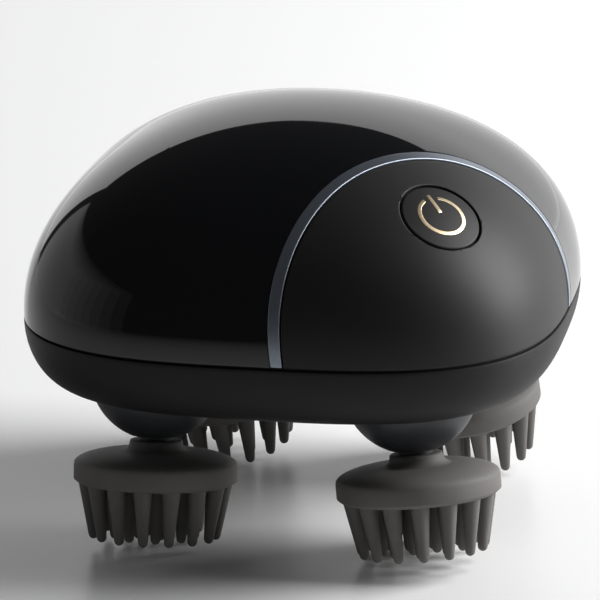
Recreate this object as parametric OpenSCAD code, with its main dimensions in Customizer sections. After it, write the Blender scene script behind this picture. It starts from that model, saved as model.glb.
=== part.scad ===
// Four-headed electric scalp massager: a rounded-square body on four leaning claw heads.
// Millimetres. +Z up, the origin on the ground under the body's middle, the front towards -Y,
// the control panel on the corner between +X and -Y.

/* [Body] */
// Width of the body across its flats, at the seam
body_w = 115; // [114:1:130]
// Squareness of the body's plan at the seam (2 is round)
plan_power = 3.1; // [3:0.1:5]
// Squareness of the plan at the crown
crown_power = 2; // [2:0.1:2.6]
// Height of the dome above the seam
dome_h = 41.6; // [40:0.1:55]
// Fullness of the dome's profile (2 is an ellipse)
dome_power = 2.1; // [2:0.05:2.8]
// Height of the lower shell below the seam
tub_h = 13.8; // [13.4:0.1:18]
// Reach of the lower shell's rounded bottom edge
tub_round = 9; // [8:0.5:14]
// Wall of the shells
wall = 2.2; // [1.8:0.1:2.6]
// Thickness of the sealing ring in the seam
gasket_t = 0.6; // [0.4:0.1:1]
// How far the sealing ring lies back from the shells' outside
gasket_inset = 0.6; // [0.2:0.1:1]

/* [Panel and trim] */
// Distance of the arch from the body's axis, at the seam, along the diagonal
arch_reach = 43; // [41:0.5:47]
// Lean of the arch towards the body's axis, at the seam, in degrees
arch_lean = 5.2; // [2:0.2:8]
// Radius in which the arch bends over towards the body's axis
arch_bend = 88; // [80:1:120]
// Width of the trim strip
trim_w = 1.7; // [1.6:0.1:3.2]
// Depth of the trim strip, measured into the body
trim_depth = 3.4; // [2.8:0.1:4]
// Fit gap on each side of the trim strip
trim_gap = 0.05; // [0.02:0.01:0.1]
// How far the panel's surface lies below the dome's
panel_inset = 0.25; // [0:0.05:0.5]

/* [Button] */
// Diameter of the power button
button_d = 17; // [15:0.5:18]
// Height of the button's middle above the seam
button_rise = 27.5; // [26.5:0.5:29.5]
// Gap round the button
button_gap = 0.35; // [0.2:0.05:0.5]
// Travel of the button
button_travel = 0.5; // [0.3:0.1:0.8]
// Radius of the button's domed face
button_crown = 40; // [34:1:60]
// Outer diameter of the power symbol's ring
symbol_d = 10.5; // [8:0.5:12]
// Width of the symbol's lines
symbol_line = 0.9; // [0.6:0.1:1.2]

/* [Heads] */
// Distance between the drive axes of neighbouring heads
head_spacing = 54; // [53:0.5:59]
// Lean of each head from its drive axis, in degrees
head_tilt = 11; // [6:0.5:12]
// Radius of the rounded foot that carries a head
foot_r = 14.3; // [13.6:0.1:14.6]
// Height of the foot's round centre above the underside of the body
foot_rise = 1.9; // [1:0.1:1.9]
// Distance of the foot's flat end below its round centre
foot_drop = 13.2; // [12.6:0.1:13.6]
// Running gap between foot and lower shell
foot_gap = 0.35; // [0.3:0.05:0.5]
// Diameter of the collar between foot and claw
collar_d = 7.4; // [7:0.1:8.4]
// Length of the collar
collar_h = 1; // [0.8:0.1:2]
// Diameter of the claw's neck
neck_d = 11.2; // [10:0.1:12]
// Height of the claw's bell
bell_h = 5.2; // [5:0.1:7]
// Diameter of the claw's rim
rim_d = 34.6; // [33:0.2:36]
// Height of the band round the rim
band_h = 3.9; // [3.8:0.1:5]
// Width of the sloping lip at the band's lower edge
lip_w = 0.9; // [0.4:0.1:1.2]

/* [Prongs] */
// Length of a prong
prong_len = 12; // [9:0.1:16]
// Diameter of a prong at its root
prong_root_d = 4.1; // [3.4:0.1:4.6]
// Diameter of a prong's round tip
prong_tip_d = 2.1; // [1.4:0.1:2.6]
// How far the outer prongs' tips are drawn in
prong_draw = 1.3; // [0:0.1:3]
// Gap between the rings of prongs, at their roots
ring_gap = 1.3; // [1:0.1:1.5]
// Number of prongs in the outer ring
outer_prongs = 15; // [11:1:16]
// Number of prongs in the middle ring
middle_prongs = 9; // [6:1:9]
// Number of prongs in the inner ring
inner_prongs = 4; // [3:1:4]

/* [Drive] */
// Teeth of the central gear
sun_teeth = 48; // [44:4:56]
// Teeth of each head's gear
head_teeth = 32; // [28:1:38]
// Width of the gears
gear_face = 5; // [4:0.5:6]
// Diameter of the head shafts
shaft_d = 4; // [3:0.1:5]
// Diameter of the motor's shaft
motor_shaft_d = 4; // [3:0.1:5]
// Radial clearance of a shaft in its bushing
run_gap = 0.05; // [0.02:0.01:0.08]
// Thickness of the chassis and of the gear cover
plate_t = 2.5; // [2:0.1:3]
// Outer diameter of the bushings
bushing_d = 8; // [7:0.1:9]
// Diameter of the reduction gearbox
gearbox_d = 25; // [22:0.5:27]
// Height of the reduction gearbox
gearbox_h = 13; // [11:0.5:14]
// Diameter of the motor
motor_d = 24; // [20:0.5:25]
// Height of the motor
motor_h = 18; // [14:0.5:18]

/* [Electrics] */
// Diameter of the battery cell
cell_d = 18.4; // [16:0.1:18.6]
// Length of the battery cell
cell_l = 65; // [60:0.5:67]
// Distance of the cell's axis behind the body's axis
cell_y = 30; // [28:0.5:31]
// Length of the main board
board_l = 44; // [36:1:46]
// Width of the main board
board_w = 25; // [22:1:26]
// Width of the charging socket
port_w = 9; // [8.4:0.1:9.4]
// Height of the charging socket
port_h = 3.2; // [2.8:0.1:3.4]

/* [Hidden] */

$fn = 64;
plan_sides = 80;
dome_steps = 14;
tub_steps = 8;
far = 160;

// Heads: name, side of the body along X and Y, and the direction in which the head leans at rest
HEADS = [["fl", -1, -1, -88], ["fr", 1, -1, -56], ["bl", -1, 1, 60], ["br", 1, 1, 50]];
diagonal = -45;

half_w = body_w / 2;
head_at = head_spacing / 2;
rim_r = rim_d / 2;

// Stations along a head's own axis, measured down from the foot's round centre
collar_at = foot_drop;
neck_at = collar_at + collar_h;
band_at = neck_at + bell_h;
root_at = band_at + band_h;
tip_at = root_at + prong_len;
tip_r = prong_tip_d / 2;
outer_root_r = rim_r - lip_w - prong_root_d / 2;
outer_tip_r = outer_root_r - prong_draw;
lowest_turn = max([for (i = [0:outer_prongs - 1]) -cos(i * 360 / outer_prongs)]);

// Heights above the ground, on which the lowest prongs of each head stand
ball_z = (tip_at - tip_r) * cos(head_tilt) + outer_tip_r * lowest_turn * sin(head_tilt) + tip_r;
under_z = ball_z - foot_rise;
seam_z = under_z + tub_h;
floor_z = under_z + wall;
shell_top_z = seam_z - gasket_t / 2;
dome_base_z = seam_z + gasket_t / 2;
seal_t = 1.6;
skirt_top_z = floor_z + seal_t;
chassis_z = skirt_top_z + 0.5;
chassis_top = chassis_z + plate_t;
flange_t = 0.7;
knee_swell = 0.6;
flange_d = bushing_d + 2.4;
end_play = 0.3;
gear_z = chassis_top + flange_t + end_play;
cover_z = gear_z + gear_face + end_play + flange_t;
cover_top = cover_z + plate_t;
crank_top = cover_top + 0.7;

// Gears: the module follows from the distance between the axes
gear_distance = head_at * sqrt(2);
gear_module = 2 * gear_distance / (sun_teeth + head_teeth);
gear_backlash = 0.14;

// Screws and posts
screw_d = 2.2;
screw_clear_d = 3;
screw_head_d = 5;
screw_head_h = 1.4;
post_d = 7;
post_clear = 0.4;
plate_half = head_at + 15;
plate_power = 4;
post_at = plate_half - 6;
case_post_at = half_w - 10.5;
arch_foot = arch_reach * sqrt(2) - half_w;
case_post_side = arch_foot - 6.5;
port_screw_x = -11;
CASE_SCREWS = [[case_post_at, -case_post_side, 0], [-case_post_at, 0, 180],
    [case_post_side, -case_post_at, -90], [port_screw_x, case_post_at, 90]];
boss_h = 12;
rib_t = 1.6;

// Button: its middle lies on the panel's surface, and its axis is square to that surface
button_z = seam_z + button_rise;
button_reach = corner_reach(button_z);
button_tilt = atan2(1, corner_reach(button_z - 0.5) - corner_reach(button_z + 0.5));

// Depths below the button's middle, along its axis
boss_from = 2.6;
boss_to = 6.2;
boss_wall = 2.2;
lip_from = boss_to + 0.1;
lip_t = 1;
lip_out = 0.9;
stem_d = 4;
stem_to = lip_from + lip_t + 1;
plunger_d = 3.4;
plunger_in = 0.9;
switch_top = stem_to + 1;
switch_w = 6;
switch_h = 3;
switch_board_t = 1.2;
switch_board_at = switch_top + switch_h;
switch_board_w = 12;
switch_board_l = 16;
bracket_at = switch_board_at + switch_board_t;
bracket_t = 1.6;
bracket_edge = 1;
leg_w = 3.6;
leg_l = 8;
leg_in = 0.4;

// Main board: spacers under it, and the pieces on it
board_t = 1.6;
spacer_h = 4;
spacer_d = 4;
spacer_in = 3.5;
chip_w = 9;
driver_w = 6;
plug_w = 8;
capacitor_d = 5;

// Charging socket
port_z = seam_z - 6;
port_wall = 0.5;
port_l = 7;
port_board_t = 1;
port_set_back = 1.3;

// Outline of the body's plan: distance from the axis, in the direction a, for a half width of 1
function plan_r(a, power) = 1 / pow(pow(abs(cos(a)), power) + pow(abs(sin(a)), power), 1 / power);
function plan_points(half, power) = [for (i = [0:plan_sides - 1])
    let(a = i * 360 / plan_sides) half * plan_r(a, power) * [cos(a), sin(a)]];

// Share of the dome's height, half width of the dome and squareness of its plan at the height z, for a
// surface that lies inset below the outside
function dome_share(z, inset) = (z - dome_base_z) / (dome_h - gasket_t / 2 - inset);
function dome_half(z, inset) = (half_w - inset)
    * pow(1 - pow(dome_share(z, inset), dome_power), 1 / dome_power);
function dome_square(share) = crown_power + (plan_power - crown_power) * (1 - pow(share, 4));
// Distance of the panel's surface from the axis along the diagonal
function corner_reach(z) = dome_half(z, panel_inset) * plan_r(45, dome_square(dome_share(z, panel_inset)));
// Half width of the lower shell's outside at the height z
function tub_half(z) = half_w - tub_round
    + tub_round * sqrt(1 - pow((shell_top_z - z) / (tub_h - gasket_t / 2), 2));

// Profiles as [half width, height, squareness], from the seam's edge to the middle
function dome_profile(inset) = [for (i = [0:dome_steps])
    let(t = 90 * i / dome_steps, share = pow(sin(t), 2 / dome_power))
    [(half_w - inset) * pow(cos(t), 2 / dome_power), dome_base_z + (dome_h - gasket_t / 2 - inset) * share,
     dome_square(share)]];
function tub_profile(inset) = concat([for (i = [0:tub_steps]) let(t = 90 * i / tub_steps)
    [half_w - tub_round + (tub_round - inset) * cos(t),
     shell_top_z - (tub_h - gasket_t / 2 - inset) * sin(t), plan_power]],
    [[0, under_z + inset, plan_power]]);
function reversed(list) = [for (i = [len(list) - 1:-1:0]) list[i]];

// Closed solid that runs through the rings of a profile, whose two ends lie on the axis
module plan_solid(profile) {
    last = len(profile) - 1;
    rings = [for (k = [1:last - 1]) profile[k]];
    points = concat([[0, 0, profile[0][1]]],
        [for (ring = rings, i = [0:plan_sides - 1]) let(a = i * 360 / plan_sides)
            let(r = ring[0] * plan_r(a, ring[2])) [r * cos(a), r * sin(a), ring[1]]],
        [[0, 0, profile[last][1]]]);
    end = len(points) - 1;
    function at(k, i) = 1 + k * plan_sides + i % plan_sides;
    faces = concat(
        [for (i = [0:plan_sides - 1]) [0, at(0, i + 1), at(0, i)]],
        [for (k = [0:last - 3], i = [0:plan_sides - 1]) [at(k, i), at(k, i + 1), at(k + 1, i)]],
        [for (k = [0:last - 3], i = [0:plan_sides - 1]) [at(k, i + 1), at(k + 1, i + 1), at(k + 1, i)]],
        [for (i = [0:plan_sides - 1]) [end, at(last - 2, i), at(last - 2, i + 1)]]);
    polyhedron(points = points, faces = faces);
}

module dome_skin(outside, inside) {
    plan_solid(concat(reversed(dome_profile(outside)), dome_profile(inside)));
}

module tub_skin() {
    plan_solid(concat(reversed(tub_profile(wall)), tub_profile(0)));
}

// Solid that reaches from behind the body up to the arch's curved face, moved outward by the offset
module arch_core(offset) {
    rotate([0, 0, diagonal])
        translate([arch_reach - arch_bend * cos(arch_lean), 0, seam_z - arch_bend * sin(arch_lean)])
            rotate([90, 0, 0]) cylinder(r = arch_bend + offset, h = far, center = true);
}

module button_frame() {
    rotate([0, 0, diagonal]) translate([button_reach, 0, button_z]) rotate([0, button_tilt, 0]) children();
}

module on_drive_axis(h) {
    translate([h[1] * head_at, h[2] * head_at, 0]) children();
}

// Frame of one head: the origin at the foot's round centre, +Z up along the head's leaning axis
module head_frame(h) {
    on_drive_axis(h) translate([0, 0, ball_z]) rotate([0, 0, h[3]]) rotate([0, -head_tilt, 0]) children();
}

module disc(d, from, to) {
    translate([0, 0, from]) cylinder(d = d, h = to - from);
}

// ---- Body ----

module upper_shell() color([0.03, 0.03, 0.04]) {
    difference() {
        union() {
            intersection() {
                dome_skin(0, wall);
                arch_core(-trim_gap);
            }
            for (s = CASE_SCREWS) case_boss(s);
        }
        for (s = CASE_SCREWS) translate([s[0], s[1], 0])
            disc(screw_d, dome_base_z - 1, dome_base_z + boss_h - 1.5);
    }
}

// Screw boss of the upper shell with the rib that ties it to the wall
module case_boss(s) {
    translate([s[0], s[1], 0]) disc(post_d, dome_base_z, dome_base_z + boss_h);
    reach = dome_half(dome_base_z + boss_h, wall / 2) - case_post_at;
    translate([s[0], s[1], dome_base_z]) rotate([0, 0, s[2]])
        translate([0, -rib_t / 2, 0]) cube([reach, rib_t, boss_h]);
}

module trim_strip() color([0.36, 0.4, 0.46]) difference() {
    intersection() {
        dome_skin(0, trim_depth);
        arch_core(trim_w);
    }
    arch_core(0);
}

module control_panel() color([0.07, 0.07, 0.07]) difference() {
    union() {
        difference() {
            dome_skin(panel_inset, wall + panel_inset);
            arch_core(trim_w + trim_gap);
        }
        button_frame() disc(button_d + 2 * (button_gap + boss_wall), -boss_to, -boss_from);
    }
    button_frame() disc(button_d + 2 * button_gap, -boss_to - 1, boss_to);
}

module lower_shell() color([0.09, 0.09, 0.1]) difference() {
    union() {
        tub_skin();
        for (a = [0:90:270]) rotate([0, 0, a]) translate([post_at, 0, 0])
            disc(post_d, floor_z - 0.5, chassis_z);
        for (s = CASE_SCREWS) translate([s[0], s[1], 0]) disc(post_d, floor_z - 0.2, shell_top_z);
        port_seat();
    }
    for (h = HEADS) on_drive_axis(h) {
        disc(2 * (foot_r + foot_gap), under_z - 1, floor_z + 1);
        disc(2 * seal_r(), floor_z, chassis_z);
    }
    for (a = [0:90:270]) rotate([0, 0, a]) translate([post_at, 0, 0])
        disc(screw_d, under_z + 1, chassis_z + 1);
    for (s = CASE_SCREWS) translate([s[0], s[1], 0]) {
        disc(screw_clear_d, under_z - 1, shell_top_z + 1);
        disc(screw_head_d + 0.4, under_z - 1, under_z + 1.6);
    }
    port_opening();
}

function seal_r() = foot_r + foot_gap + 1.3;

module seam_gasket() color([0.02, 0.02, 0.02]) translate([0, 0, shell_top_z])
    linear_extrude(gasket_t) difference() {
        polygon(plan_points(half_w - gasket_inset, plan_power));
        polygon(plan_points(half_w - wall, plan_power));
    }

module case_screws() color([0.6, 0.6, 0.62]) {
    for (s = CASE_SCREWS) translate([s[0], s[1], 0]) {
        disc(screw_head_d, under_z + 1.6 - screw_head_h, under_z + 1.6);
        disc(screw_d, under_z + 1.6, dome_base_z + boss_h - 2);
    }
}

// ---- Button and switch ----

module symbol_lines() {
    bar = symbol_d * 0.5;
    gap = symbol_d * 0.3;
    difference() {
        circle(d = symbol_d);
        circle(d = symbol_d - 2 * symbol_line);
        translate([-symbol_d, -gap / 2]) square([symbol_d, gap]);
    }
    translate([-symbol_d * 0.56, -symbol_line / 2]) square([bar, symbol_line]);
}

// The symbol as an inlay between two spheres that follow the button's face
module symbol_inlay(above, below) {
    intersection() {
        translate([0, 0, -2]) linear_extrude(4) symbol_lines();
        difference() {
            translate([0, 0, -button_crown]) sphere(button_crown + above);
            translate([0, 0, -button_crown]) sphere(button_crown - below);
        }
    }
}

module power_button() color([0.08, 0.08, 0.08]) button_frame() difference() {
    union() {
        intersection() {
            disc(button_d, -lip_from - 0.2, 2);
            translate([0, 0, -button_crown]) sphere(button_crown);
        }
        disc(button_d + 2 * (button_gap + lip_out), -lip_from - lip_t, -lip_from);
        disc(stem_d, -stem_to, -lip_from);
    }
    translate([0, 0, -seal_depth()]) rotate_extrude() translate([button_d / 2, 0]) circle(d = seal_cord());
    symbol_inlay(1, 0.2);
}

function seal_depth() = (boss_from + boss_to) / 2;
function seal_cord() = 1.4;

module button_seal() color([0.03, 0.03, 0.03]) button_frame() translate([0, 0, -seal_depth()])
    rotate_extrude() intersection() {
        translate([button_d / 2, 0]) circle(d = seal_cord());
        translate([0, -seal_cord()]) square([button_d / 2 + button_gap - run_gap, 2 * seal_cord()]);
    }

module power_symbol() color([0.78, 0.68, 0.5]) button_frame() symbol_inlay(0.05, 0.2);

module switch_plunger() color([0.75, 0.75, 0.72]) button_frame()
    disc(plunger_d, -switch_top - plunger_in, -stem_to);

module tact_switch() color([0.2, 0.2, 0.2]) button_frame() difference() {
    translate([-switch_w / 2, -switch_w / 2, -switch_board_at]) cube([switch_w, switch_w, switch_h]);
    disc(plunger_d + 2 * run_gap, -switch_top - plunger_in - button_travel - 0.2, 0);
}

module switch_board() color([0.1, 0.3, 0.18]) button_frame()
    translate([-switch_board_w / 2, -switch_board_l / 2, -bracket_at])
        cube([switch_board_w, switch_board_l, switch_board_t]);

// Two legs on the gear cover, with the sloping seat of the switch board between them
module switch_bracket() color([0.12, 0.12, 0.13]) {
    seat_d = button_reach - (bracket_at + bracket_t) * sin(button_tilt);
    seat_z = button_z - (bracket_at + bracket_t) * cos(button_tilt);
    bracket_l = switch_board_l + 2 * bracket_edge;
    leg_side = (bracket_l - leg_w) / 2 - leg_in;
    button_frame() translate([-switch_board_w / 2, -bracket_l / 2, -bracket_at - bracket_t])
        cube([switch_board_w, bracket_l, bracket_t]);
    rotate([0, 0, diagonal]) for (side = [-1, 1]) difference() {
        translate([seat_d - leg_l / 2, side * leg_side - leg_w / 2, cover_top])
            cube([leg_l, leg_w, seat_z - cover_top + leg_l / 2]);
        translate([seat_d, 0, seat_z]) rotate([0, button_tilt, 0]) translate([-far / 2, -far / 2, 0.5])
            cube([far, far, far]);
    }
}

// ---- Gear train ----

function involute(a) = tan(a) - a * PI / 180;

// Half of a tooth's angle at the radius r, for a pressure angle of 20 degrees
function tooth_half(r, pitch_r) = (PI * gear_module / 4 - gear_backlash / 2) / pitch_r * 180 / PI
    + (involute(20) - involute(acos(min(1, pitch_r * cos(20) / r)))) * 180 / PI;

module gear_outline(teeth) {
    pitch_r = teeth * gear_module / 2;
    root_r = pitch_r - 1.25 * gear_module;
    tip = pitch_r + 0.95 * gear_module;
    low = max(root_r, pitch_r * cos(20)) + 0.1;
    flank = [[root_r, tooth_half(low, pitch_r)], [low, tooth_half(low, pitch_r)],
        [pitch_r, tooth_half(pitch_r, pitch_r)], [tip, tooth_half(tip, pitch_r)]];
    polygon([for (i = [0:teeth - 1], k = [0:7])
        let(p = k < 4 ? flank[k] : flank[7 - k], a = i * 360 / teeth + (k < 4 ? -p[1] : p[1]))
        p[0] * [cos(a), sin(a)]]);
}

module gear(teeth, bore, web_r) {
    difference() {
        linear_extrude(gear_face) gear_outline(teeth);
        disc(bore, -1, gear_face + 1);
        for (side = [-1, 1]) translate([0, 0, gear_face / 2 + side * gear_face * 0.75]) difference() {
            cylinder(r = web_r, h = gear_face, center = true);
            cylinder(d = flange_d, h = gear_face + 1, center = true);
        }
    }
}

module sun_gear() color([0.85, 0.85, 0.8]) translate([0, 0, gear_z]) rotate([0, 0, 45 + 180 / sun_teeth])
    gear(sun_teeth, motor_shaft_d, sun_teeth * gear_module / 2 - 3.5);

module head_gear(h) color([0.85, 0.85, 0.8]) on_drive_axis(h) translate([0, 0, gear_z])
    rotate([0, 0, atan2(-h[2], -h[1])]) gear(head_teeth, shaft_d, head_teeth * gear_module / 2 - 3.5);

module motor_shaft() color([0.7, 0.7, 0.72]) disc(motor_shaft_d, chassis_z, cover_top + gearbox_h * 0.6);

module plate_outline() {
    difference() {
        polygon(plan_points(plate_half, plate_power));
        for (s = CASE_SCREWS) translate([s[0], s[1]]) circle(d = post_d + 2 * post_clear);
        for (a = [0:90:270]) rotate(a) translate([post_at, 0]) circle(d = screw_clear_d);
        for (h = HEADS) translate([h[1] * head_at, h[2] * head_at]) circle(d = bushing_d);
        circle(d = bushing_d);
    }
}

module chassis() color([0.16, 0.16, 0.17]) {
    translate([0, 0, chassis_z]) linear_extrude(plate_t) plate_outline();
    for (a = [0:90:270]) rotate([0, 0, a]) translate([post_at, 0, 0]) difference() {
        disc(post_d, chassis_top, cover_z);
        disc(screw_clear_d, chassis_z, cover_z + 1);
    }
}

module gear_cover() color([0.2, 0.2, 0.21]) {
    translate([0, 0, cover_z]) linear_extrude(plate_t) plate_outline();
    for (p = board_posts()) translate([p[0], p[1], 0]) disc(spacer_d, cover_top, board_z());
}

module bushing(d, from, to, flange_from) {
    difference() {
        union() {
            disc(bushing_d, from, to);
            disc(flange_d, flange_from, flange_from + flange_t);
        }
        disc(d + 2 * run_gap, from - 1, to + 1);
    }
}

module lower_bushing(h) color([0.72, 0.58, 0.3]) on_drive_axis(h)
    bushing(shaft_d, chassis_z, chassis_top + flange_t, chassis_top);

module upper_bushing(h) color([0.72, 0.58, 0.3]) on_drive_axis(h)
    bushing(shaft_d, cover_z - flange_t, cover_top, cover_z - flange_t);

module centre_bushing() color([0.72, 0.58, 0.3])
    bushing(motor_shaft_d, chassis_z, chassis_top + flange_t, chassis_top);

module gearbox() color([0.55, 0.55, 0.57]) difference() {
    union() {
        disc(gearbox_d, cover_top, cover_top + gearbox_h);
        disc(bushing_d, cover_z, cover_top);
    }
    disc(motor_shaft_d + 2 * run_gap, cover_z - 1, cover_top + gearbox_h * 0.6 + 0.5);
}

module motor() color([0.62, 0.62, 0.64]) {
    base = cover_top + gearbox_h;
    disc(motor_d, base, base + motor_h - 1);
    disc(motor_d - 3, base + motor_h - 1, base + motor_h);
    for (side = [-1, 1]) translate([side * 7 - 1.2, -0.3, base + motor_h]) cube([2.4, 0.6, 2.2]);
}

module gearbox_screws() color([0.6, 0.6, 0.62]) {
    for (a = [0:90:270]) rotate([0, 0, a]) translate([post_at, 0, 0]) {
        disc(screw_head_d, cover_top, cover_top + screw_head_h);
        disc(screw_d, under_z + 1.2, cover_top);
    }
}

// ---- Heads ----

module crank_shaft(h) color([0.7, 0.7, 0.72]) {
    on_drive_axis(h) {
        disc(shaft_d, ball_z, crank_top);
        translate([0, 0, ball_z]) sphere(d = shaft_d + knee_swell);
    }
    head_frame(h) disc(shaft_d, -socket_end() + 0.2, 0);
}

function socket_end() = band_at + 1.6;

module drive_foot(h) color([0.2, 0.21, 0.24]) {
    hub_d = shaft_d + 4;
    shell = 2;
    difference() {
        union() {
            on_drive_axis(h) difference() {
                union() {
                    translate([0, 0, ball_z]) sphere(foot_r);
                    disc(2 * foot_r, ball_z, skirt_top_z);
                }
                translate([0, 0, ball_z]) sphere(foot_r - shell);
                disc(2 * (foot_r - shell), ball_z, skirt_top_z + 1);
                disc(2 * foot_r + 1, skirt_top_z, skirt_top_z + foot_r);
            }
            head_frame(h) intersection() {
                disc(2 * foot_r, -foot_r, -foot_drop + shell);
                sphere(foot_r - shell / 2);
            }
            head_frame(h) disc(hub_d, -foot_drop, -shaft_d);
        }
        head_frame(h) disc(2 * foot_r, -2 * foot_r, -foot_drop);
        head_frame(h) disc(shaft_d, -2 * foot_r, foot_r);
    }
}

module foot_seal(h) color([0.05, 0.05, 0.05]) on_drive_axis(h) difference() {
    disc(2 * seal_r(), floor_z, skirt_top_z - 0.2);
    disc(2 * (foot_r + foot_gap), floor_z - 1, skirt_top_z + 1);
}

// Hard core inside the soft claw: collar, stem and a disc that carries the prongs' floor
module claw_core(h) color([0.25, 0.25, 0.26]) head_frame(h) difference() {
    core_solid();
    disc(shaft_d, -socket_end(), 0);
}

module core_solid() {
    disc(collar_d, -socket_end() - 1, -collar_at);
    disc(core_disc_d(), -band_at - 2.6, -band_at - 1);
}

function core_disc_d() = rim_d - 9;

// Bell of the claw as a half outline: a neck, a hollow curve and a domed shoulder down to the rim
function bell_points() = concat(
    [[neck_d / 2 - 0.4, -neck_at], [neck_d / 2, -neck_at - 0.4]],
    [for (t = [15:15:90]) [neck_d / 2 + fillet() * (1 - cos(t)), shoulder_z() + fillet() * (1 - sin(t))]],
    [for (t = [75:-15:0]) [shoulder_x() + (rim_r - shoulder_x()) * cos(t), -band_at + shoulder_h() * sin(t)]]);
function shoulder_h() = bell_h * 0.54;
function shoulder_z() = -band_at + shoulder_h();
function fillet() = bell_h - shoulder_h() - 0.4;
function shoulder_x() = neck_d / 2 + fillet();

module claw(h) color([0.3, 0.29, 0.28]) head_frame(h) difference() {
    union() {
        rotate_extrude() polygon(concat([[0, -neck_at]], bell_points(),
            [[rim_r, -root_at + lip_w * 0.8], [rim_r - lip_w, -root_at], [0, -root_at]]));
        prong_ring(outer_prongs, outer_root_r, outer_tip_r, 0);
        prong_ring(middle_prongs, middle_r(), middle_r() - prong_draw / 3, 12);
        prong_ring(inner_prongs, inner_r(), inner_r(), 30);
    }
    core_solid();
}

function middle_r() = outer_root_r - prong_root_d - ring_gap;
function inner_r() = middle_r() - prong_root_d - ring_gap;

// Prongs that taper from their root to a round tip, set on a circle
module prong_ring(count, root_r, end_r, turn) {
    length = prong_len - tip_r;
    for (i = [0:count - 1]) rotate([0, 0, turn + i * 360 / count]) translate([root_r, 0, -root_at + 0.6])
        rotate([0, atan2(root_r - end_r, length), 0]) {
            reach = norm([root_r - end_r, length + 0.6]);
            translate([0, 0, -reach]) cylinder(r1 = tip_r, d2 = prong_root_d, h = reach);
            translate([0, 0, -reach]) sphere(tip_r);
        }
}

// ---- Electrics ----

function cell_z() = cover_top + 1.6 + cell_d / 2;
function holder_l() = cell_l + 2 * 2.2;

module battery_cell() color([0.2, 0.35, 0.6])
    translate([-cell_l / 2, cell_y, cell_z()]) rotate([0, 90, 0]) {
        cylinder(d = cell_d, h = cell_l - 1);
        cylinder(d = cell_d * 0.4, h = cell_l);
    }

// Cradle of the cell: a base on the gear cover, two end walls and two side lips
module battery_holder() color([0.1, 0.1, 0.1]) {
    difference() {
        translate([-holder_l() / 2, cell_y - cell_d / 2, cover_top])
            cube([holder_l(), cell_d, cell_d * 0.55]);
        translate([-cell_l / 2, cell_y, cell_z()]) rotate([0, 90, 0]) cylinder(d = cell_d, h = cell_l);
        translate([-cell_l / 2, cell_y - far / 2, cell_z() - cell_d * 0.3]) cube([cell_l, far, far]);
        for (a = [0:90:270]) rotate([0, 0, a]) translate([post_at, 0, 0])
            disc(screw_head_d + 0.6, cover_top - 1, cover_top + screw_head_h + 0.3);
        for (h = HEADS) on_drive_axis(h) disc(bushing_d + 0.6, cover_top - 1, crank_top + 0.3);
        for (s = CASE_SCREWS) translate([s[0], s[1], 0])
            disc(post_d + 2 * post_clear, cover_top - 1, dome_base_z + boss_h + 1);
    }
}

function board_x() = -gearbox_d / 2 - 3.5 - board_w;
function board_y() = -board_l * 0.66;
function board_z() = cover_top + spacer_h;
function board_posts() = [for (x = [spacer_in, board_w - spacer_in], y = [spacer_in, board_l - spacer_in])
    [board_x() + x, board_y() + y]];

module main_board() color([0.08, 0.28, 0.16]) difference() {
    translate([board_x(), board_y(), board_z()]) cube([board_w, board_l, board_t]);
    for (p = board_posts()) translate([p[0], p[1], 0])
        disc(spacer_d / 2, board_z() - board_t, board_z() + 2 * board_t);
}

// Controller, driver, inductor, capacitors and plugs on the main board
module board_parts() color([0.12, 0.12, 0.12]) {
    top = board_z() + board_t;
    translate([board_x() + board_w * 0.32, board_y() + board_l * 0.3, top])
        cube([chip_w, chip_w, chip_w * 0.15]);
    translate([board_x() + board_w * 0.36, board_y() + board_l * 0.6, top])
        cube([driver_w, driver_w, driver_w * 0.27]);
    translate([board_x() + board_w * 0.55, board_y() + board_l * 0.07, top])
        cube([plug_w, plug_w * 0.6, plug_w * 0.6]);
    for (place = [[0.12, 0.5], [0.76, 0.6]])
        translate([board_x() + board_w * place[0], board_y() + board_l * place[1], top])
            cylinder(d = capacitor_d, h = capacitor_d * 1.2);
}

// ---- Charging socket ----

module stadium(w, h, from, to) {
    translate([0, from, port_z]) rotate([-90, 0, 0]) linear_extrude(to - from) {
        square([w - h, h], center = true);
        for (side = [-1, 1]) translate([side * (w - h) / 2, 0]) circle(d = h);
    }
}

function port_front() = tub_half(port_z) - port_set_back;
function port_back() = port_front() - port_l;
function port_board_top() = port_z - port_h / 2;

module port_opening() {
    stadium(port_w + 0.3, port_h + 0.3, port_back() - 0.5, half_w + 1);
}

module port_seat() {
    translate([-port_w / 2, port_back() + 1, floor_z - 0.2])
        cube([port_w, port_l - 1.5, port_board_top() - port_board_t - floor_z + 0.2]);
}

module charging_port() color([0.66, 0.66, 0.68]) {
    difference() {
        stadium(port_w, port_h, port_back(), port_front());
        stadium(port_w - 2 * port_wall, port_h - 2 * port_wall, port_back() + port_wall, port_front() + 1);
    }
    translate([-port_w / 2 + 1.6, port_back() + port_wall, port_z - 0.35])
        cube([port_w - 3.2, port_l - 2, 0.7]);
}

module port_board() color([0.1, 0.3, 0.18])
    translate([-port_w / 2 - 0.5, port_back() + 0.2, port_board_top() - port_board_t])
        cube([port_w + 1, port_l - 3.4, port_board_t]);

upper_shell();
trim_strip();
control_panel();
power_button();
power_symbol();
button_seal();
switch_plunger();
tact_switch();
switch_board();
switch_bracket();
lower_shell();
seam_gasket();
chassis();
gear_cover();
centre_bushing();
sun_gear();
motor_shaft();
gearbox();
motor();
battery_cell();
battery_holder();
main_board();
board_parts();
charging_port();
port_board();
case_screws();
gearbox_screws();
for (h = HEADS) {
    claw(h);
    claw_core(h);
    drive_foot(h);
    crank_shaft(h);
    head_gear(h);
    lower_bushing(h);
    upper_bushing(h);
    foot_seal(h);
}
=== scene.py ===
import math
import bpy
from mathutils import Matrix, Vector


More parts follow.
